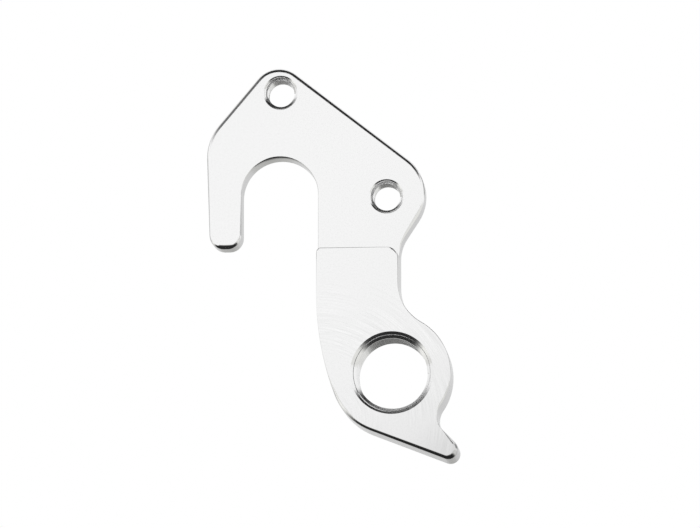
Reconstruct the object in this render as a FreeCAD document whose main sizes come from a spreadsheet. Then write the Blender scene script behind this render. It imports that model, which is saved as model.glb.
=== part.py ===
import FreeCAD, Part
import math
import os

import Sketcher
from FreeCAD import Vector

# A derailleur hanger seen from the side that its frame screws onto. X runs to the right and Z up across
# that face, Y runs into the plate, and the wheel's axle centre in the plane of that face is at zero.
# Lengths are in millimetres and angles in degrees. "Drop" is a distance below the axle centre.
SIZES = {
    # Plate
    "seat_thickness": 4.0,  # the thin upper plate, which the frame covers
    "step_height": 3.0,  # how far the lower section stands proud of the upper plate
    "step_drop": 7.4,  # the step against which the frame's lower edge rests
    "step_outer_round": 1.3,  # corner of the step on the derailleur's side
    "step_inner_round": 0.5,  # corner of the step on the slot's side
    "plate_tongue": 2.6,  # how far the upper plate runs on inside the lower section
    "edge_round": 0.35,  # every outer edge is tumbled to this radius
    # Axle slot and the leg that closes it on the left
    "axle_slot_width": 10.0,
    "leg_drop": 6.87,  # the leg's end
    "leg_root_width": 4.5,  # where the leg leaves the bend
    "leg_taper": 1.8,  # the leg's outer side leans in by this angle
    "leg_corner": 1.8,
    "bend_radius": 6.65,  # outer bend above the leg
    "bend_rise": 5.1,  # height of that bend's centre above the axle
    # Frame screws and the corners round them
    "top_screw_x": 0.13,
    "top_screw_z": 13.5,
    "side_screw_x": 13.9,
    "side_screw_drop": 0.33,
    "screw_thread_bore": 3.45,  # crest diameter of the M4 thread
    "screw_countersink": 4.3,
    "crown_radius": 3.62,  # corner round the top screw
    "crown_shift_x": 0.24,  # that corner's centre lies left of the screw
    "crown_shift_z": 0.43,  # and below it
    "shoulder_radius": 5.72,  # corner round the side screw
    "shoulder_shift_x": 0.77,  # that corner's centre lies left of the screw
    "shoulder_shift_z": 0.37,  # and above it
    "shoulder_angle": 56.75,  # slope of the edge that falls from the shoulder to the neck
    "shoulder_blend": 5.0,  # hollow between that edge and the neck
    # Neck, boss and tail of the thick lower section
    "neck_width": 10.53,
    "bolt_x": 14.7,
    "bolt_drop": 23.7,
    "bolt_thread_bore": 9.1,  # crest diameter of the M10 x 1 thread
    "bolt_countersink": 10.35,
    "boss_radius": 7.58,  # round the bolt on the outer side
    "boss_blend": 6.0,  # hollow between the neck and the boss
    "heel_radius": 7.87,  # round the bolt on the lower left
    "cheek_radius": 38.0,  # long curve from the neck into the heel
    "tail_slope": 21.3,  # fall of the tail's lower edge
    "tail_reach": 12.2,  # from the bolt's centre to the centre of the tail's tip
    "tail_tip_radius": 1.27,
    "tail_stop_angle": 45.0,  # slope of the stop face that the derailleur's screw leans on
    "tail_blend": 2.45,  # hollow between the boss and the stop face
}


# How a sketch numbers the points of its edges
START, END, CENTRE = 1, 2, 3
ROOT = (-1, START)  # the sketch's own zero point


class Size:
    """The same sizes as attributes, for working out where each outline starts."""


for name, value in SIZES.items():
    setattr(Size, name, value)


def unit(angle):
    """Unit vector at an angle in degrees."""
    return Vector(math.cos(math.radians(angle)), math.sin(math.radians(angle)), 0)


class Straight:
    """A straight run of an outline, which keeps the metal on its left."""

    def __init__(self, name, angle, through=None):
        self.name = name
        self.along = unit(angle)
        self.left = unit(angle + 90)
        self.through = through

    def edge(self, first, last):
        return Part.LineSegment(first, last)

    start_point, end_point = START, END


class Bow:
    """A round run of an outline. It turns left round metal, or right round a hollow."""

    def __init__(self, name, centre, radius, hollow=False):
        self.name = name
        self.centre = centre
        self.radius = radius
        self.side = -radius if hollow else radius
        self.start_point, self.end_point = (END, START) if hollow else (START, END)

    def edge(self, first, last):
        ends = (last, first) if self.side < 0 else (first, last)
        angles = [math.atan2(end.y - self.centre.y, end.x - self.centre.x) for end in ends]
        circle = Part.Circle(self.centre, Vector(0, 0, 1), self.radius)
        return Part.ArcOfCircle(circle, angles[0], angles[1])


def meeting_point(before, after):
    """Where two neighbours of an outline touch, or cross if both are straight."""
    if isinstance(before, Straight) and isinstance(after, Straight):
        gap = after.through - before.through
        return before.through + before.along * (gap.dot(after.left) / before.along.dot(after.left))
    if isinstance(before, Straight):
        return after.centre - before.left * after.side
    if isinstance(after, Straight):
        return before.centre - after.left * before.side
    towards = (before.centre - after.centre) * (1 / (before.side - after.side))
    return before.centre - towards * before.side


def draw_outline(sketch, runs):
    """Draws the closed outline and joins its runs. Returns each run's number in the sketch."""
    number = {}
    for place, run in enumerate(runs):
        first = meeting_point(runs[place - 1], run)
        last = meeting_point(run, runs[(place + 1) % len(runs)])
        number[run.name] = sketch.addGeometry(run.edge(first, last), False)
    for before, after in zip(runs, runs[1:] + runs[:1]):
        both_straight = isinstance(before, Straight) and isinstance(after, Straight)
        kind = "Coincident" if both_straight else "Tangent"
        ends = (number[before.name], before.end_point, number[after.name], after.start_point)
        sketch.addConstraint(Sketcher.Constraint(kind, *ends))
    return number


def bind(sketch, name, formula, *constraint):
    """Adds a dimension to the sketch and ties it to the sheet."""
    place = sketch.addConstraint(Sketcher.Constraint(*constraint))
    sketch.renameConstraint(place, name)
    sketch.setExpression("Constraints." + name, formula)


def radius_of(sketch, number, name, formula, value):
    bind(sketch, name + "_radius", formula, "Radius", number[name], value)


TOUCHING = 1e-4  # lengths closer than this count as the same


def centre_at(sketch, number, name, across, up, across_formula, up_formula):
    """Sets an arc's centre right of the axle, and above it, or below it where up is negative."""
    bind(sketch, name + "_x", across_formula, "DistanceX", *ROOT, number[name], CENTRE, across)
    if up < 0:
        bind(sketch, name + "_drop", up_formula, "DistanceY", number[name], CENTRE, *ROOT, -up)
    else:
        bind(sketch, name + "_rise", up_formula, "DistanceY", *ROOT, number[name], CENTRE, up)


def new_sketch(body, name):
    """A sketch on the face that meets the frame. Its normal points at the viewer, along -Y."""
    sketch = body.newObject("Sketcher::SketchObject", name)
    plane = next(item for item in body.Origin.OriginFeatures if item.Role == "XZ_Plane")
    sketch.AttachmentSupport = [(plane, "")]
    sketch.MapMode = "FlatFace"
    return sketch


def draw_upper_plate(sketch):
    """The plate that the frame covers: crown, shoulder, axle slot and leg."""
    half_slot = Size.axle_slot_width / 2
    neck_right = half_slot + Size.neck_width
    join_drop = Size.step_drop + Size.plate_tongue

    shoulder_x = Size.side_screw_x - Size.shoulder_shift_x
    shoulder_z = Size.shoulder_shift_z - Size.side_screw_drop
    shoulder = Bow("shoulder", Vector(shoulder_x, shoulder_z, 0), Size.shoulder_radius)
    slope = Straight("shoulder_edge", Size.shoulder_angle)
    slope_start = meeting_point(slope, shoulder)
    blend_x = neck_right + Size.shoulder_blend
    reach = -Size.shoulder_blend - (blend_x - slope_start.x) * slope.left.x
    blend_z = slope_start.y + reach / slope.left.y
    blend = Bow("shoulder_blend", Vector(blend_x, blend_z, 0), Size.shoulder_blend, hollow=True)

    crown_x = Size.top_screw_x - Size.crown_shift_x
    crown_z = Size.top_screw_z - Size.crown_shift_z
    crown = Bow("crown", Vector(crown_x, crown_z, 0), Size.crown_radius)

    leg_side = Straight("leg_side", Size.leg_taper - 90)
    leg_root_x = -half_slot - Size.leg_root_width
    bend_x = leg_root_x + leg_side.left.x * Size.bend_radius
    bend = Bow("bend", Vector(bend_x, Size.bend_rise, 0), Size.bend_radius)
    leg_root = meeting_point(bend, leg_side)
    corner_z = Size.leg_corner - Size.leg_drop
    corner_x = leg_root.x + (Size.leg_corner - (corner_z - leg_root.y) * leg_side.left.y) / leg_side.left.x
    inner_x = -half_slot - Size.leg_corner

    number = draw_outline(
        sketch,
        [
            Straight("join", 0, Vector(0, -join_drop, 0)),
            Straight("neck", 90, Vector(neck_right, 0, 0)),
            blend,
            slope,
            shoulder,
            common_tangent("outer_slope", shoulder, crown),
            crown,
            common_tangent("inner_slope", crown, bend),
            bend,
            leg_side,
            Bow("leg_outer_corner", Vector(corner_x, corner_z, 0), Size.leg_corner),
            Straight("leg_end", 0),
            Bow("leg_inner_corner", Vector(inner_x, corner_z, 0), Size.leg_corner),
            Straight("leg_wall", 90),
            Bow("arch", Vector(0, 0, 0), half_slot, hollow=True),
            Straight("slot_wall", -90, Vector(half_slot, 0, 0)),
        ],
    )
    for name in ("join", "leg_end"):
        sketch.addConstraint(Sketcher.Constraint("Horizontal", number[name]))
    for name in ("neck", "leg_wall", "slot_wall"):
        sketch.addConstraint(Sketcher.Constraint("Vertical", number[name]))
    sketch.addConstraint(Sketcher.Constraint("Coincident", number["arch"], CENTRE, *ROOT))
    radius_of(sketch, number, "arch", "Sizes.axle_slot_width / 2", half_slot)

    join_end = (number["join"], END)
    formula = "Sizes.axle_slot_width / 2 + Sizes.neck_width"
    bind(sketch, "neck_x", formula, "DistanceX", *ROOT, *join_end, neck_right)
    formula = "Sizes.step_drop + Sizes.plate_tongue"
    bind(sketch, "join_drop", formula, "DistanceY", *join_end, *ROOT, join_drop)

    radius_of(sketch, number, "shoulder_blend", "Sizes.shoulder_blend", Size.shoulder_blend)
    tilt = math.radians(Size.shoulder_angle)
    bind(sketch, "shoulder_slope", "Sizes.shoulder_angle", "Angle", number["shoulder_edge"], tilt)
    radius_of(sketch, number, "shoulder", "Sizes.shoulder_radius", Size.shoulder_radius)
    formula = "Sizes.side_screw_x - Sizes.shoulder_shift_x"
    bind(sketch, "shoulder_x", formula, "DistanceX", *ROOT, number["shoulder"], CENTRE, shoulder_x)
    formula = "Sizes.shoulder_shift_z - Sizes.side_screw_drop"
    bind(sketch, "shoulder_z", formula, "DistanceY", *ROOT, number["shoulder"], CENTRE, shoulder_z)

    radius_of(sketch, number, "crown", "Sizes.crown_radius", Size.crown_radius)
    formula = "Sizes.top_screw_x - Sizes.crown_shift_x"
    bind(sketch, "crown_x", formula, "DistanceX", *ROOT, number["crown"], CENTRE, crown_x)
    formula = "Sizes.top_screw_z - Sizes.crown_shift_z"
    bind(sketch, "crown_z", formula, "DistanceY", *ROOT, number["crown"], CENTRE, crown_z)

    radius_of(sketch, number, "bend", "Sizes.bend_radius", Size.bend_radius)
    bind(sketch, "bend_rise", "Sizes.bend_rise", "DistanceY", *ROOT, number["bend"], CENTRE, Size.bend_rise)
    formula = "Sizes.axle_slot_width / 2 + Sizes.leg_root_width"
    bind(sketch, "leg_root_x", formula, "DistanceX", number["leg_side"], START, *ROOT, -leg_root_x)
    tilt = math.radians(Size.leg_taper - 90)
    bind(sketch, "leg_lean", "Sizes.leg_taper - 90", "Angle", number["leg_side"], tilt)
    for name in ("leg_outer_corner", "leg_inner_corner"):
        radius_of(sketch, number, name, "Sizes.leg_corner", Size.leg_corner)
    bind(sketch, "leg_drop", "Sizes.leg_drop", "DistanceY", number["leg_end"], START, *ROOT, Size.leg_drop)


def common_tangent(name, before, after):
    """The straight run that touches two round ones."""
    gap = after.centre - before.centre
    turn = math.asin((after.side - before.side) / gap.Length)
    return Straight(name, math.degrees(math.atan2(gap.y, gap.x) - turn))


def draw_lower_section(sketch):
    """The thick section below the step: neck, boss round the bolt, heel and tail."""
    neck_left = Size.axle_slot_width / 2
    neck_right = neck_left + Size.neck_width
    bolt = Vector(Size.bolt_x, -Size.bolt_drop, 0)
    boss = Bow("boss", bolt, Size.boss_radius)
    heel = Bow("heel", bolt, Size.heel_radius)

    across = neck_left + Size.cheek_radius - bolt.x
    rise = math.sqrt((Size.cheek_radius - Size.heel_radius) ** 2 - across**2)
    cheek = Bow("cheek", bolt + Vector(across, rise, 0), Size.cheek_radius)

    across = neck_right + Size.boss_blend - bolt.x
    rise = math.sqrt((Size.boss_radius + Size.boss_blend) ** 2 - across**2)
    boss_blend = Bow("boss_blend", bolt + Vector(across, rise, 0), Size.boss_blend, hollow=True)

    tail_edge = Straight("tail_edge", -Size.tail_slope)
    inset = Size.heel_radius - Size.tail_tip_radius
    run = math.sqrt(Size.tail_reach**2 - inset**2)
    tip = Bow("tail_tip", bolt - tail_edge.left * inset + tail_edge.along * run, Size.tail_tip_radius)

    stop_face = Straight("stop_face", 180 - Size.tail_stop_angle)
    offset = meeting_point(tip, stop_face) - stop_face.left * Size.tail_blend - bolt
    slide = offset.dot(stop_face.along)
    spare = slide**2 - offset.dot(offset) + (Size.boss_radius + Size.tail_blend) ** 2
    blend_centre = bolt + offset - stop_face.along * (slide + math.sqrt(spare))
    tail_blend = Bow("tail_blend", blend_centre, Size.tail_blend, hollow=True)

    outer_z = -Size.step_drop - Size.step_outer_round
    inner_z = -Size.step_drop - Size.step_inner_round
    outer = Vector(neck_right - Size.step_outer_round, outer_z, 0)
    inner = Vector(neck_left + Size.step_inner_round, inner_z, 0)

    number = draw_outline(
        sketch,
        [
            Straight("neck_outer", 90),
            Bow("step_outer_corner", outer, Size.step_outer_round),
            Straight("step", 180),
            Bow("step_inner_corner", inner, Size.step_inner_round),
            Straight("neck_inner", -90),
            cheek,
            heel,
            tail_edge,
            tip,
            stop_face,
            tail_blend,
            boss,
            boss_blend,
        ],
    )
    sketch.addConstraint(Sketcher.Constraint("Horizontal", number["step"]))
    for name in ("neck_outer", "neck_inner"):
        sketch.addConstraint(Sketcher.Constraint("Vertical", number[name]))
    formula = "Sizes.axle_slot_width / 2 + Sizes.neck_width"
    bind(sketch, "neck_outer_x", formula, "DistanceX", *ROOT, number["neck_outer"], START, neck_right)
    formula = "Sizes.axle_slot_width / 2"
    bind(sketch, "neck_inner_x", formula, "DistanceX", *ROOT, number["neck_inner"], START, neck_left)
    bind(sketch, "step_drop", "Sizes.step_drop", "DistanceY", number["step"], START, *ROOT, Size.step_drop)
    radius_of(sketch, number, "step_outer_corner", "Sizes.step_outer_round", Size.step_outer_round)
    radius_of(sketch, number, "step_inner_corner", "Sizes.step_inner_round", Size.step_inner_round)

    bind(sketch, "bolt_x", "Sizes.bolt_x", "DistanceX", *ROOT, number["boss"], CENTRE, bolt.x)
    bind(sketch, "bolt_drop", "Sizes.bolt_drop", "DistanceY", number["boss"], CENTRE, *ROOT, -bolt.y)
    sketch.addConstraint(Sketcher.Constraint("Coincident", number["heel"], CENTRE, number["boss"], CENTRE))
    radius_of(sketch, number, "boss", "Sizes.boss_radius", Size.boss_radius)
    radius_of(sketch, number, "heel", "Sizes.heel_radius", Size.heel_radius)
    radius_of(sketch, number, "cheek", "Sizes.cheek_radius", Size.cheek_radius)
    radius_of(sketch, number, "boss_blend", "Sizes.boss_blend", Size.boss_blend)

    radius_of(sketch, number, "tail_tip", "Sizes.tail_tip_radius", Size.tail_tip_radius)
    radius_of(sketch, number, "tail_blend", "Sizes.tail_blend", Size.tail_blend)
    centres = (number["boss"], CENTRE, number["tail_tip"], CENTRE)
    bind(sketch, "tail_reach", "Sizes.tail_reach", "Distance", *centres, Size.tail_reach)
    tilt = math.radians(-Size.tail_slope)
    bind(sketch, "tail_slope", "-Sizes.tail_slope", "Angle", number["tail_edge"], tilt)
    tilt = math.radians(180 - Size.tail_stop_angle)
    bind(sketch, "stop_slope", "180 - Sizes.tail_stop_angle", "Angle", number["stop_face"], tilt)


def draw_hole(sketch, name, across, up, across_formula, up_formula, diameter, diameter_formula):
    """A round hole, right of the axle and above it, or below it where up is negative."""
    circle = Part.Circle(Vector(across, up, 0), Vector(0, 0, 1), diameter / 2)
    number = {name: sketch.addGeometry(circle, False)}
    centre_at(sketch, number, name, across, up, across_formula, up_formula)
    bind(sketch, name + "_diameter", diameter_formula, "Diameter", number[name], diameter)


def edge_names(shape, wanted):
    """Names of the edges for which wanted(edge) is true."""
    return ["Edge%d" % place for place, edge in enumerate(shape.Edges, start=1) if wanted(edge)]


def lies_at(edge, depth):
    """Whether the whole edge lies in the plane at this depth in Y."""
    box = edge.BoundBox
    return abs(box.YMin - depth) < TOUCHING and abs(box.YMax - depth) < TOUCHING


def is_circle(edge, diameter):
    closed_round = isinstance(edge.Curve, Part.Circle) and edge.isClosed()
    return closed_round and abs(edge.Curve.Radius - diameter / 2) < TOUCHING


def round_edges(body, name, wanted):
    """Tumbled rounding on the wanted edges of the body as it is so far."""
    base = body.Tip
    rounding = body.newObject("PartDesign::Fillet", name)
    rounding.Base = (base, edge_names(base.Shape, wanted))
    rounding.Radius = Size.edge_round
    rounding.setExpression("Radius", "Sizes.edge_round")
    body.Document.recompute()


def countersink(body, name, diameter, width, formula):
    """Chamfer on both rims of the holes of one diameter."""
    base = body.Tip
    chamfer = body.newObject("PartDesign::Chamfer", name)
    chamfer.Base = (base, edge_names(base.Shape, lambda edge: is_circle(edge, diameter)))
    chamfer.Size = width
    chamfer.setExpression("Size", formula)
    body.Document.recompute()


def cut_through(body, name, sketch):
    """Cuts a sketch right through the plate, and makes sure that metal went."""
    before = body.Tip.Shape.Volume
    pocket = body.newObject("PartDesign::Pocket", name)
    pocket.Profile = sketch
    pocket.Type = "ThroughAll"
    body.Document.recompute()
    if pocket.Shape.Volume >= before:
        raise RuntimeError(name + " cut nothing")


def build_hanger(document):
    body = document.addObject("PartDesign::Body", "Hanger")
    body.Label = "hanger"

    plate_sketch = new_sketch(body, "UpperPlateOutline")
    draw_upper_plate(plate_sketch)
    plate = body.newObject("PartDesign::Pad", "UpperPlate")
    plate.Profile = plate_sketch
    plate.Reversed = True
    plate.setExpression("Length", "Sizes.seat_thickness")
    document.recompute()
    join_level = -Size.step_drop - Size.plate_tongue
    round_edges(
        body,
        "SeatEdgeRound",
        lambda edge: lies_at(edge, 0) and edge.BoundBox.ZMax > join_level + TOUCHING,
    )

    lower_sketch = new_sketch(body, "LowerSectionOutline")
    draw_lower_section(lower_sketch)
    lower = body.newObject("PartDesign::Pad", "LowerSection")
    lower.Profile = lower_sketch
    lower.SideType = "Two sides"
    lower.setExpression("Length", "Sizes.step_height")
    lower.setExpression("Length2", "Sizes.seat_thickness")
    document.recompute()
    round_edges(body, "LowerEdgeRound", lambda edge: lies_at(edge, -Size.step_height))
    round_edges(body, "BackEdgeRound", lambda edge: lies_at(edge, Size.seat_thickness))

    screw_sketch = new_sketch(body, "FrameScrewHoles")
    bore = (Size.screw_thread_bore, "Sizes.screw_thread_bore")
    top = (Size.top_screw_x, Size.top_screw_z, "Sizes.top_screw_x", "Sizes.top_screw_z")
    draw_hole(screw_sketch, "top_screw", *top, *bore)
    side = (Size.side_screw_x, -Size.side_screw_drop, "Sizes.side_screw_x", "Sizes.side_screw_drop")
    draw_hole(screw_sketch, "side_screw", *side, *bore)
    cut_through(body, "FrameScrewThreads", screw_sketch)
    width = (Size.screw_countersink - Size.screw_thread_bore) / 2
    formula = "(Sizes.screw_countersink - Sizes.screw_thread_bore) / 2"
    countersink(body, "FrameScrewChamfers", Size.screw_thread_bore, width, formula)

    bolt_sketch = new_sketch(body, "BoltHole")
    bolt_sketch.setExpression("AttachmentOffset.Base.z", "Sizes.step_height")
    bore = (Size.bolt_thread_bore, "Sizes.bolt_thread_bore")
    place = (Size.bolt_x, -Size.bolt_drop, "Sizes.bolt_x", "Sizes.bolt_drop")
    draw_hole(bolt_sketch, "bolt", *place, *bore)
    cut_through(body, "BoltThread", bolt_sketch)
    width = (Size.bolt_countersink - Size.bolt_thread_bore) / 2
    formula = "(Sizes.bolt_countersink - Sizes.bolt_thread_bore) / 2"
    countersink(body, "BoltChamfers", Size.bolt_thread_bore, width, formula)
    return body


def check_document(document, bodies):
    """Stops if any step failed or a sub-part isn't one sound solid."""
    for item in document.Objects:
        if "Invalid" in item.State or "Error" in item.State:
            raise RuntimeError(item.Label + " failed")
        if item.TypeId == "Sketcher::SketchObject" and not item.FullyConstrained:
            raise RuntimeError(item.Label + " is not fully constrained")
    for body in bodies:
        if body.Shape.isNull() or not body.Shape.isValid() or len(body.Shape.Solids) != 1:
            raise RuntimeError(body.Label + " is not one sound solid")


def main():
    document = FreeCAD.newDocument("DerailleurHanger")
    sheet = document.addObject("Spreadsheet::Sheet", "Sizes")
    for row, (name, value) in enumerate(SIZES.items(), start=1):
        sheet.set("A%d" % row, name)
        sheet.set("B%d" % row, str(value))
        sheet.setAlias("B%d" % row, name)
    document.recompute()

    bodies = [build_hanger(document)]
    document.recompute()
    check_document(document, bodies)

    os.makedirs("parts", exist_ok=True)
    for body in bodies:
        body.Shape.exportStep("parts/%s.step" % body.Label)
        box = body.Shape.BoundBox
        print(body.Label, "%.2f x %.2f x %.2f mm" % (box.XLength, box.YLength, box.ZLength))
        print("volume %.1f cubic mm in %d faces" % (body.Shape.Volume, len(body.Shape.Faces)))


main()
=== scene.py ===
import math

import bmesh
import bpy
from mathutils import Matrix, Vector
from mathutils.bvhtree import BVHTree


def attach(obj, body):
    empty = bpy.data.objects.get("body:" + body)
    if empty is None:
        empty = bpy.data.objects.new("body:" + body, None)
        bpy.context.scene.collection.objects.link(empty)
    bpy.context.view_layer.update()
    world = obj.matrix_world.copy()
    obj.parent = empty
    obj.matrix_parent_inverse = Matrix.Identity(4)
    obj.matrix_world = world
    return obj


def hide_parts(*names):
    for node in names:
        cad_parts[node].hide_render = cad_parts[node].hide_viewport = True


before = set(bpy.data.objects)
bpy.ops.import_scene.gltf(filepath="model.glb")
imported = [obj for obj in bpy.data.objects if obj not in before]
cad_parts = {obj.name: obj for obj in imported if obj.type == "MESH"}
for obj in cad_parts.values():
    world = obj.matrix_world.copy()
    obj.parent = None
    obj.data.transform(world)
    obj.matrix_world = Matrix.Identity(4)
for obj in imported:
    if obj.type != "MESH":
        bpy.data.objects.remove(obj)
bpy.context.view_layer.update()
mm = 0.001
mergeReach = 0.0005  # points of a mesh that are nearer than this many mm are one


def report(stage):
    print("scene:", stage)


# the photo's view: angles in degrees, lengths in mm
cameraSettings = {
    "azimuth": 4.47,  # towards +X
    "elevation": -8.42,  # it looks up from below
    "roll": -0.084,
    "distance": 650.0,
    "aim": (9.15, 0.0, -9.13),
    "lens": 258.6,
    "clip": (20.0, 20000.0),
}

# the studio, lengths in mm; only reflections see the cards, and each has its middle, its turn in
# degrees, its color, and where it starts, is full, fades and ends along its own X and Y
stageSettings = {
    "floorHeight": -230.0,
    "floorRadius": 2600.0,
    "floorSteps": 96,
    "floorColor": "#EFEFEC",
    "worldColor": "#FFFFFF",
    "worldStrength": 0.92,  # for the floor and all that is matt
    "lamp": {"place": (-520, -420, 380), "size": 420, "power": 1.6},  # power in watts
    "cards": {
        "cardAbove": {
            "middle": (0, 0, 420), "turn": (0, "X"), "color": "#2A2A2A",
            "x": (-1000, -250, 420, 760), "y": (-930, -765, -40, 110),
        },
        "cardBelow": {
            "middle": (0, 0, -205), "turn": (0, "X"), "color": "#2A2A2A",
            "x": (-330, -150, 150, 330), "y": (-800, -40, 450, 1150),
        },
        "cardFront": {
            "middle": (0, -800, 0), "turn": (90, "X"), "color": "#BCBCBC",
            "x": (-950, -600, 600, 950), "y": (-500, -320, -280, -100),
        },
        "cardLeft": {
            "middle": (-650, 0, 0), "turn": (90, "Y"), "color": "#D0D0D0",
            "x": (-420, -260, 260, 420), "y": (0, 180, 760, 940),
        },
        "cardRight": {
            "middle": (650, 0, 0), "turn": (90, "Y"), "color": "#9A9A9A",
            "x": (-520, -400, -120, -40), "y": (-100, 250, 900, 1200),
        },
    },
}


def srgb(code):
    channels = [int(code[i : i + 2], 16) / 255 for i in (1, 3, 5)]
    linear = [c / 12.92 if c <= 0.04045 else ((c + 0.055) / 1.055) ** 2.4 for c in channels]
    return (*linear, 1.0)


def addNode(tree, kind, inputs=None, **settings):
    # adds one node; an input given a socket is linked to it, and one given a value is set to it
    node = tree.nodes.new(kind)
    for name, value in settings.items():
        setattr(node, name, value)
    for place, value in (inputs or {}).items():
        if isinstance(value, bpy.types.NodeSocket):
            tree.links.new(value, node.inputs[place])
        else:
            node.inputs[place].default_value = value
    return node


def newMaterial(name):
    material = bpy.data.materials.new(name)
    material.use_nodes = True
    material.node_tree.nodes.clear()
    return material, material.node_tree


def makeCamera(s):
    data = bpy.data.cameras.new("photoCamera")
    data.lens = s["lens"]
    data.clip_start, data.clip_end = (length * mm for length in s["clip"])
    camera = bpy.data.objects.new("photoCamera", data)
    bpy.context.scene.collection.objects.link(camera)
    turn, lift = math.radians(s["azimuth"]), math.radians(s["elevation"])
    level = math.cos(lift)
    back = Vector((math.sin(turn) * level, -math.cos(turn) * level, math.sin(lift)))
    camera.location = (Vector(s["aim"]) + back * s["distance"]) * mm
    facing = back.to_track_quat("Z", "Y").to_matrix().to_4x4()
    rolled = facing @ Matrix.Rotation(math.radians(s["roll"]), 4, "Z")
    camera.rotation_euler = rolled.to_euler()
    bpy.context.scene.camera = camera


def placeOnStage(name, shape, place, material):
    mesh = bpy.data.meshes.new(name)
    shape.to_mesh(mesh)
    shape.free()
    made = bpy.data.objects.new(name, mesh)
    made.matrix_world = place
    made.data.materials.append(material)
    bpy.context.scene.collection.objects.link(made)
    return made


def makeFloor(s):
    # matt pale paper: one soft even tone that holds the object's shadow
    material, tree = newMaterial("paleStudioPaper")
    shader = addNode(tree, "ShaderNodeBsdfDiffuse", {"Color": srgb(s["floorColor"])})
    addNode(tree, "ShaderNodeOutputMaterial", {"Surface": shader.outputs[0]})
    shape = bmesh.new()
    radius = s["floorRadius"] * mm
    bmesh.ops.create_circle(shape, cap_ends=True, segments=s["floorSteps"], radius=radius)
    place = Matrix.Translation((0, 0, s["floorHeight"] * mm))
    placeOnStage("studioFloor", shape, place, material)


def makeCard(name, s):
    # paper off camera, faded along its rims: its reflection draws the lines along polished edges
    material, tree = newMaterial(name + "Paper")
    coords = addNode(tree, "ShaderNodeTexCoord")
    place = addNode(tree, "ShaderNodeSeparateXYZ", {0: coords.outputs["Object"]})
    rims = []
    for axis in ("x", "y"):
        start, full, fading, end = s[axis]
        for outer, inner in ((start, full), (end, fading)):
            limits = {
                "Value": place.outputs[axis.upper()],
                "From Min": outer * mm,
                "From Max": inner * mm,
            }
            rim = addNode(tree, "ShaderNodeMapRange", limits, interpolation_type="SMOOTHSTEP")
            rims.append(rim.outputs[0])
    shown = rims[0]
    for rim in rims[1:]:
        shown = addNode(tree, "ShaderNodeMath", {0: shown, 1: rim}, operation="MULTIPLY").outputs[0]
    paper = addNode(tree, "ShaderNodeEmission", {"Color": srgb(s["color"]), "Strength": 1.0})
    clear = addNode(tree, "ShaderNodeBsdfTransparent")
    layers = {0: shown, 1: clear.outputs[0], 2: paper.outputs[0]}
    mixed = addNode(tree, "ShaderNodeMixShader", layers)
    addNode(tree, "ShaderNodeOutputMaterial", {"Surface": mixed.outputs[0]})

    size = [(s[axis][3] - s[axis][0]) * mm for axis in ("x", "y")]
    middle = [(s[axis][3] + s[axis][0]) / 2 * mm for axis in ("x", "y")]
    shape = bmesh.new()
    bmesh.ops.create_grid(shape, x_segments=1, y_segments=1, size=0.5)  # a square with sides of 1
    bmesh.ops.scale(shape, vec=(*size, 1), verts=shape.verts)
    bmesh.ops.translate(shape, vec=(*middle, 0), verts=shape.verts)
    degrees, about = s["turn"]
    turned = Matrix.Rotation(math.radians(degrees), 4, about)
    moved = Matrix.Translation(Vector(s["middle"]) * mm)
    card = placeOnStage(name, shape, moved @ turned, material)
    card.visible_camera = False
    card.visible_diffuse = False
    card.visible_transmission = False
    card.visible_volume_scatter = False
    card.visible_shadow = False


def makeWorld(s):
    # white studio: the camera and polished metal see it at full white, all else a little less
    world = bpy.data.worlds.new("whiteStudio")
    world.use_nodes = True
    tree = world.node_tree
    tree.nodes.clear()
    ray = addNode(tree, "ShaderNodeLightPath")
    seen = ray.outputs["Is Camera Ray"]
    for other in ("Is Glossy Ray", "Is Transmission Ray"):
        both = {0: seen, 1: ray.outputs[other]}
        seen = addNode(tree, "ShaderNodeMath", both, operation="MAXIMUM").outputs[0]
    levels = {"Value": seen, "To Min": s["worldStrength"], "To Max": 1.0}
    strength = addNode(tree, "ShaderNodeMapRange", levels).outputs["Result"]
    light = {"Color": srgb(s["worldColor"]), "Strength": strength}
    background = addNode(tree, "ShaderNodeBackground", light)
    addNode(tree, "ShaderNodeOutputWorld", {"Surface": background.outputs[0]})
    bpy.context.scene.world = world


def makeLamp(name, s):
    data = bpy.data.lights.new(name, "AREA")
    data.shape = "DISK"
    data.size = s["size"] * mm
    data.energy = s["power"]
    lamp = bpy.data.objects.new(name, data)
    lamp.location = Vector(s["place"]) * mm
    lamp.rotation_euler = lamp.location.to_track_quat("Z", "Y").to_euler()  # it faces the origin
    lamp.visible_glossy = False
    bpy.context.scene.collection.objects.link(lamp)


makeCamera(cameraSettings)
makeFloor(stageSettings)
for cardName, cardSettings in stageSettings["cards"].items():
    makeCard(cardName, cardSettings)
makeWorld(stageSettings)
makeLamp("softKeyLamp", stageSettings["lamp"])
bpy.context.scene.view_settings.view_transform = "Standard"
report("camera, floor, cards and lamp placed")


def objectFrom(name, shape):
    bmesh.ops.recalc_face_normals(shape, faces=shape.faces)
    mesh = bpy.data.meshes.new(name)
    shape.to_mesh(mesh)
    shape.free()
    made = bpy.data.objects.new(name, mesh)
    bpy.context.scene.collection.objects.link(made)
    return made


def mergedCopy(name, node):
    shape = bmesh.new()
    shape.from_mesh(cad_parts[node].data)
    bmesh.ops.remove_doubles(shape, verts=shape.verts, dist=mergeReach * mm)
    return objectFrom(name, shape)


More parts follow.
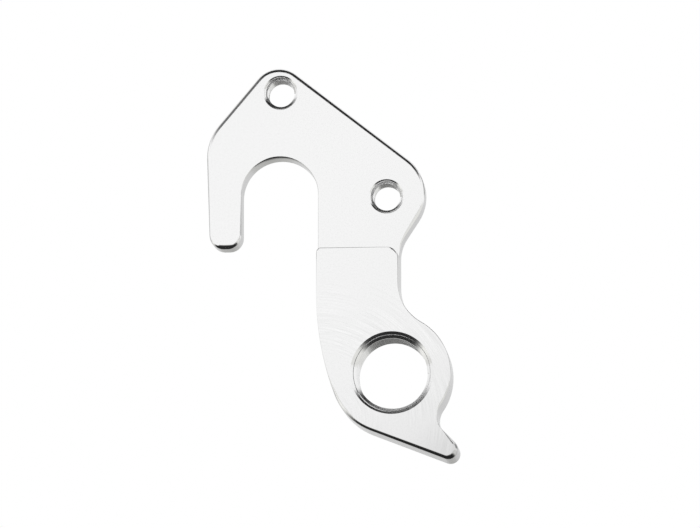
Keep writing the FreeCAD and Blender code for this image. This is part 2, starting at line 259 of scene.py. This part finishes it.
# the hanger's tumbled edges, lengths in mm; each edge has its face's Y, a Y where its walls are
# straight, and places round the outline as x, z and the rounding's width across the face and depth
# down the wall
edgeSettings = {
    "cadRound": 0.35,  # the even rounding that the solid's edges have
    "depthSlack": 0.001,  # a point this far past the rounding's depth still belongs to it
    "widthSlack": 0.02,  # and one this far past its width
    "fade": 4,  # the power of the distance with which a place loses its say
    "soften": 0.01,  # keeps a place's say finite where the distance is zero
    "edges": {
        # this one comes first, because both reach the wall of the step
        "lowerSection": {
            "face": -3.0,
            "straight": -1.5,
            "places": {
                "stepInner": (5.05, -7.7, 0.26, 0.26),
                "stepLeft": (5.6, -7.4, 0.05, 0.05),
                "stepMiddle": (10.0, -7.4, 0.035, 0.035),
                "stepRight": (14.0, -7.4, 0.04, 0.04),
                "stepCorner": (15.1, -7.9, 0.24, 0.26),
                "neckRight": (15.5, -11.0, 0.12, 0.12),
                "bossBlend": (16.8, -15.6, 0.10, 0.10),
                "bossTop": (20.0, -18.2, 0.10, 0.10),
                "bossSide": (22.3, -23.5, 0.16, 0.16),
                "bossUnder": (21.2, -27.4, 0.28, 0.28),
                "tailBlend": (20.6, -29.6, 0.12, 0.12),
                "stopFace": (21.4, -31.2, 0.05, 0.05),
                "tailTip": (23.0, -33.9, 0.54, 1.10),
                "tailEdgeRight": (20.5, -34.4, 0.38, 0.95),
                "tailEdge": (15.0, -32.3, 0.30, 0.85),
                "heelRight": (11.0, -30.5, 0.32, 0.78),
                "heel": (8.4, -28.4, 0.46, 0.60),
                "cheek": (6.2, -22.5, 0.12, 0.12),
                "neckLeft": (5.0, -13.0, 0.05, 0.05),
                "neckLeftTop": (5.0, -9.0, 0.10, 0.10),
            },
        },
        "upperPlate": {
            "face": 0.0,
            "straight": 2.0,
            "places": {
                "crown": (-0.1, 16.7, 0.56, 0.40),
                "outerSlopeTop": (5.5, 13.2, 0.62, 0.42),
                "outerSlopeLow": (14.7, 6.0, 0.60, 0.42),
                "shoulderTop": (18.1, 2.8, 0.52, 0.42),
                "shoulderSide": (18.8, 0.0, 0.46, 0.46),
                "shoulderUnder": (17.5, -3.7, 0.50, 0.50),
                "neckRight": (15.6, -7.0, 0.25, 0.25),
                "innerSlopeTop": (-4.0, 14.0, 0.64, 0.44),
                "innerSlopeLow": (-7.1, 10.4, 0.64, 0.44),
                "bend": (-9.0, 7.5, 0.60, 0.44),
                "legSideTop": (-9.5, 4.1, 0.50, 0.50),
                "legSideLow": (-9.3, -2.5, 0.42, 0.42),
                "legOuterCorner": (-8.7, -6.3, 0.24, 0.85),
                "legEnd": (-7.1, -6.9, 0.50, 0.95),
                "legInnerCorner": (-5.5, -6.3, 0.36, 0.60),
                "legWall": (-5.0, -2.0, 0.05, 0.05),
                "archLeft": (-3.5, 3.5, 0.08, 1.10),
                "arch": (0.0, 5.0, 0.13, 1.50),
                "archRight": (3.5, 3.5, 0.10, 1.30),
                "slotWall": (5.0, -2.0, 0.10, 0.10),
                "slotWallLow": (5.0, -7.0, 0.10, 0.10),
            },
        },
    },
}


def roundingAt(places, x, z, s):
    # width and depth of the rounding near a point, blended from the named places by their distance
    total, weights = Vector((0, 0)), 0.0
    for placeX, placeZ, width, depth in places.values():
        weight = 1 / (math.hypot(x - placeX, z - placeZ) ** s["fade"] + s["soften"])
        total += Vector((width, depth)) * weight
        weights += weight
    return total / weights


def tumbleEdge(body, edge, s):
    # makes the even rounding along one front face wider or tighter, as tumbling wore it
    face, even = edge["face"], s["cadRound"]
    shape = bmesh.new()
    shape.from_mesh(body.data)
    walls = BVHTree.FromBMesh(shape)
    for vertex in shape.verts:
        sunk = vertex.co.y / mm - face
        if not -s["depthSlack"] < sunk < even + s["depthSlack"]:
            continue
        beside = Vector((vertex.co.x, edge["straight"] * mm, vertex.co.z))
        wall, _, _, away = walls.find_nearest(beside)
        if away > (even + s["widthSlack"]) * mm:
            continue
        width, depth = roundingAt(edge["places"], wall.x / mm, wall.z / mm, s)
        vertex.co.x = wall.x + (vertex.co.x - wall.x) * width / even
        vertex.co.z = wall.z + (vertex.co.z - wall.z) * width / even
        vertex.co.y = (face + sunk * depth / even) * mm
    shape.to_mesh(body.data)
    shape.free()


hanger = mergedCopy("machinedHanger", "hanger")
for worn in edgeSettings["edges"].values():
    tumbleEdge(hanger, worn, edgeSettings)
report("edges tumbled")

# the hanger's holes, lengths in mm: x and z of the axis, the front face's Y, the thread's crest and
# root diameters, its pitch and its start below the front face, the steps round the hole, and each
# mouth as (radius, depth) points from its face inwards
backFace = 4.0
screwHole = {
    "front": 0.0, "steps": 96,
    "crest": 3.47, "root": 4.14, "pitch": 0.7, "threadFrom": 0.45,
    "frontMouth": [(2.25, 0.0), (2.06, 0.16), (1.735, 0.66)],
    "backMouth": [(2.17, 0.0), (1.735, 0.43)],
}
holeSettings = {
    "topScrew": {"x": 0.13, "z": 13.5, **screwHole},
    "sideScrew": {"x": 13.9, "z": -0.33, **screwHole},
    "boltHole": {
        "x": 14.7, "z": -23.7, "front": -3.0, "steps": 144,
        "crest": 9.12, "root": 10.12, "pitch": 1.0, "threadFrom": 0.95,
        "frontMouth": [(5.34, 0.0), (4.98, 0.30), (4.93, 0.55), (4.56, 0.86)],
        "backMouth": [(5.20, 0.0), (4.56, 0.64)],
    },
}


def spinProfile(shape, profile, s, steps, turns=1.0, rise=0.0):
    # turns (radius, depth) points round the hole's axis: a chain, or a closed face where it rises
    centre = Vector((s["x"] * mm, 0, s["z"] * mm))
    points = [centre + Vector((radius * mm, depth * mm, 0)) for radius, depth in profile]
    corners = [shape.verts.new(point) for point in points]
    if rise:
        geom = [shape.faces.new(corners)]
    else:
        geom = corners + [shape.edges.new(pair) for pair in zip(corners, corners[1:])]
    bmesh.ops.spin(
        shape,
        geom=geom,
        cent=centre,
        axis=(0, 1, 0),
        dvec=(0, rise * turns / steps * mm, 0),
        angle=math.tau * turns,
        steps=steps,
        use_merge=not rise,
        use_duplicate=False,
    )
    bmesh.ops.remove_doubles(shape, verts=shape.verts, dist=mergeReach * mm)


def boreCutter(name, s):
    past = 0.6  # how far it stands out of both faces
    front = [(radius, s["front"] + depth) for radius, depth in s["frontMouth"]]
    back = [(radius, backFace - depth) for radius, depth in reversed(s["backMouth"])]
    top, bottom = s["front"] - past, backFace + past
    profile = [(0, top), (front[0][0], top), *front, *back, (back[-1][0], bottom), (0, bottom)]
    shape = bmesh.new()
    spinProfile(shape, profile, s, s["steps"])
    return objectFrom(name, shape)


def grooveCutter(name, s):
    # the groove between two thread crests, run round the bore as one long helix
    crest, root, pitch = s["crest"] / 2, s["root"] / 2, s["pitch"]
    flank = math.radians(30)  # half of the thread's 60 degrees
    overlap = 0.08  # how far it starts inside the open bore
    rootHalf = pitch / 14  # half the narrow flat at the groove's bottom
    openHalf = rootHalf + (root - crest + overlap) * math.tan(flank)
    start = s["front"] + s["threadFrom"]
    turns = math.ceil((backFace - start) / pitch + 1.4)  # it ends more than a turn past the back
    profile = [
        (crest - overlap, start - openHalf),
        (root, start - rootHalf),
        (root, start + rootHalf),
        (crest - overlap, start + openHalf),
    ]
    shape = bmesh.new()
    spinProfile(shape, profile, s, turns * (s["steps"] // 2), turns, pitch)
    return objectFrom(name, shape)


def cutAway(body, cutter):
    cut = body.modifiers.new("cut", "BOOLEAN")
    cut.operation = "DIFFERENCE"
    cut.solver = "MANIFOLD"
    cut.object = cutter
    shaped = body.evaluated_get(bpy.context.evaluated_depsgraph_get())
    finished = bpy.data.meshes.new_from_object(shaped)
    body.modifiers.clear()
    body.data = finished
    bpy.data.objects.remove(cutter)


def openEdges(body):
    # a closed shape has none
    shape = bmesh.new()
    shape.from_mesh(body.data)
    count = sum(1 for edge in shape.edges if not edge.is_manifold)
    shape.free()
    return count


for holeName, hole in holeSettings.items():
    cutAway(hanger, boreCutter(holeName + "Bore", hole))
    cutAway(hanger, grooveCutter(holeName + "Groove", hole))
    print("   ", holeName, len(hanger.data.polygons), "faces,", openEdges(hanger), "open edges")
report("holes and threads cut")

shadeSettings = {
    "angle": 30,  # degrees; faces that meet at less than this look like one
    "holeAngle": 8,  # the same in the holes, where the slopes of the mouths stay apart
    "sliver": 1e-5,  # mm2; a smaller face has no say
    "flat": 0.9999,  # a normal with at least this much Y belongs to a front or back face
}


def inHole(at):
    for s in holeSettings.values():
        if math.hypot(at.x / mm - s["x"], at.z / mm - s["z"]) < s["frontMouth"][0][0]:
            return True
    return False


def shadeByAngle(body, s):
    # flat faces stay flat to their very edge, and faces that meet at less than the angle blend
    mesh = body.data
    meeting = [[] for _ in mesh.vertices]
    for face in mesh.polygons:
        face.use_smooth = True
        if face.area > s["sliver"] * mm**2:
            for corner in face.vertices:
                meeting[corner].append(face)
    normals = []
    for face in mesh.polygons:
        limit = math.cos(math.radians(s["holeAngle"] if inHole(face.center) else s["angle"]))
        for corner in face.vertices:
            blend = [near for near in meeting[corner] if near.normal.dot(face.normal) > limit]
            flat = [near.normal for near in blend if abs(near.normal.y) > s["flat"]]
            if flat:
                normal = flat[0]
            elif blend:
                normal = sum((near.normal * near.area for near in blend), Vector()).normalized()
            else:
                normal = face.normal
            normals.append(tuple(normal))
    mesh.normals_split_custom_set(normals)


shadeByAngle(hanger, shadeSettings)
report("faces shaded")

# the hanger's finish, lengths in mm; two numbers in brackets are where a thing starts and is full
finishSettings = {
    "tailWay": (0.61, 0.0, -0.79),  # from the bolt towards the tail's tip
    "boltAt": 27.7,  # the bolt's place along that way
    # painted shade: the milled faces' colour by the distance past the bolt, darker towards the
    # tail's tip
    "paintedShadeTones": [
        (-25.0, "#F5F5F5"), (-4.0, "#F2F2F2"), (3.0, "#EEEEEE"), (8.0, "#E9E9E9"),
        (13.0, "#DADADA"),
    ],
    "grazingTint": "#CECECE",
    "roughness": 0.15,
    "markCentre": (4.9, 0.0, -30.0),  # the cutter's arcs on the lower section run round this point
    # between two arcs; the real ones are about 0.1 apart, and these are coarser so that they show
    "markSpacing": 0.22,
    "markBreaks": 2.5,  # how often an arc changes along one radian
    "markTone": 0.095,  # the share of the tone that an arc adds or takes
    "markRoughness": 0.05,  # what it adds to the roughness or takes from it
    "markHeight": 0.004,
    "patchSize": 6.0,  # the arcs show in patches of about this size
    "patchFade": (0.35, 0.6),  # the part of the patch noise where they come in
    "markFace": (-2.8, -2.95),  # Y, so that only the lower section's front has them
    "markNeck": (-11.0, -18.0),  # Z, below the neck
    "tailFrom": (3.0, 10.0),  # distance past the bolt
    "tailMarks": 1.6,  # how much stronger the arcs are on the tail
    "grainSize": 0.25,  # the tumbled grain
    "grainFade": (0.3, 0.7),  # the part of the grain's noise that counts
    "grainTone": 0.018,
    "swing": 4,  # a noise less its middle stays within about a quarter, and this makes it 1
}


def makeAlloy(s):
    # bare milled and tumbled aluminium: pale and bright with a soft gloss, painted shade that
    # darkens it towards the tail's tip, the cutter's arcs on the lower face and a fine grain all
    # over
    material, tree = newMaterial("tumbledBareAluminium")
    coords = addNode(tree, "ShaderNodeTexCoord").outputs["Object"]
    place = addNode(tree, "ShaderNodeSeparateXYZ", {0: coords})

    # painted shade: a colour that darkens along the way to the tail's tip
    both = {0: coords, 1: s["tailWay"]}
    along = addNode(tree, "ShaderNodeVectorMath", both, operation="DOT_PRODUCT").outputs["Value"]
    first, last = s["paintedShadeTones"][0][0], s["paintedShadeTones"][-1][0]
    reach = addNode(tree, "ShaderNodeMapRange", {
        "Value": along,
        "From Min": (first + s["boltAt"]) * mm,
        "From Max": (last + s["boltAt"]) * mm,
    })
    paintedShadeTone = addNode(tree, "ShaderNodeValToRGB", {0: reach.outputs[0]})
    stops = paintedShadeTone.color_ramp.elements
    while len(stops) < len(s["paintedShadeTones"]):
        stops.new(0.5)  # its place is set below
    for stop, (distance, color) in zip(stops, s["paintedShadeTones"]):
        stop.position = (distance - first) / (last - first)
        stop.color = srgb(color)

    # streaks that follow arcs round the marks' centre: noise stretched along the angle
    moved = {0: coords, "Location": [-c * mm for c in s["markCentre"]]}
    centred = addNode(tree, "ShaderNodeMapping", moved)
    across = addNode(tree, "ShaderNodeSeparateXYZ", {0: centred.outputs[0]})
    x, z = across.outputs["X"], across.outputs["Z"]
    level = addNode(tree, "ShaderNodeCombineXYZ", {"X": x, "Z": z}).outputs[0]
    radius = addNode(tree, "ShaderNodeVectorMath", {0: level}, operation="LENGTH").outputs["Value"]
    both = {0: radius, 1: s["markSpacing"] * mm}
    ring = addNode(tree, "ShaderNodeMath", both, operation="DIVIDE").outputs[0]
    angle = addNode(tree, "ShaderNodeMath", {0: z, 1: x}, operation="ARCTAN2").outputs[0]
    both = {0: angle, 1: s["markBreaks"]}
    sweep = addNode(tree, "ShaderNodeMath", both, operation="MULTIPLY").outputs[0]
    track = addNode(tree, "ShaderNodeCombineXYZ", {"X": ring, "Y": sweep})
    streaks = addNode(tree, "ShaderNodeTexNoise", {
        "Vector": track.outputs[0], "Scale": 1.0, "Detail": 2.0, "Roughness": 0.6,
    })
    patches = addNode(tree, "ShaderNodeTexNoise", {
        "Vector": coords, "Scale": 1 / (s["patchSize"] * mm), "Detail": 1.0,
    })

    # the streaks less their middle, times a share for each thing that limits or strengthens them
    both = {0: streaks.outputs["Fac"], 1: 0.5}
    marks = addNode(tree, "ShaderNodeMath", both, operation="SUBTRACT").outputs[0]
    for limits in (
        {
            "Value": patches.outputs["Fac"],
            "From Min": s["patchFade"][0],
            "From Max": s["patchFade"][1],
        },
        {
            "Value": place.outputs["Y"],
            "From Min": s["markFace"][0] * mm,
            "From Max": s["markFace"][1] * mm,
        },
        {
            "Value": place.outputs["Z"],
            "From Min": s["markNeck"][0] * mm,
            "From Max": s["markNeck"][1] * mm,
        },
        {
            "Value": along,
            "From Min": (s["tailFrom"][0] + s["boltAt"]) * mm,
            "From Max": (s["tailFrom"][1] + s["boltAt"]) * mm,
            "To Min": 1.0,
            "To Max": s["tailMarks"],
        },
    ):
        share = addNode(tree, "ShaderNodeMapRange", limits)
        both = {0: marks, 1: share.outputs[0]}
        marks = addNode(tree, "ShaderNodeMath", both, operation="MULTIPLY").outputs[0]

    grain = addNode(tree, "ShaderNodeTexNoise", {
        "Vector": coords, "Scale": 1 / (s["grainSize"] * mm), "Detail": 3.0,
    })
    grainShare = addNode(tree, "ShaderNodeMapRange", {
        "Value": grain.outputs["Fac"],
        "From Min": s["grainFade"][0],
        "From Max": s["grainFade"][1],
        "To Min": 1 - s["grainTone"],
        "To Max": 1 + s["grainTone"],
    })
    markShare = addNode(
        tree,
        "ShaderNodeMath",
        {0: marks, 1: s["swing"] * s["markTone"], 2: grainShare.outputs[0]},
        operation="MULTIPLY_ADD",
    )
    # the colour is the painted shade's tone, scaled by the arcs and the grain
    color = addNode(
        tree,
        "ShaderNodeVectorMath",
        {0: paintedShadeTone.outputs["Color"], "Scale": markShare.outputs[0]},
        operation="SCALE",
    )
    roughness = addNode(
        tree,
        "ShaderNodeMath",
        {0: marks, 1: s["swing"] * s["markRoughness"], 2: s["roughness"]},
        operation="MULTIPLY_ADD",
    )
    relief = addNode(tree, "ShaderNodeBump", {
        "Height": marks, "Strength": 1.0, "Distance": s["swing"] * s["markHeight"] * mm,
    })
    shader = addNode(tree, "ShaderNodeBsdfPrincipled", {
        "Base Color": color.outputs[0],
        "Metallic": 1.0,
        "Roughness": roughness.outputs[0],
        "Normal": relief.outputs[0],
        "Specular Tint": srgb(s["grazingTint"]),
    })
    addNode(tree, "ShaderNodeOutputMaterial", {"Surface": shader.outputs[0]})
    return material


hanger.data.materials.clear()
hanger.data.materials.append(makeAlloy(finishSettings))
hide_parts("hanger")
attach(hanger, "root")
report("finish on the hanger")
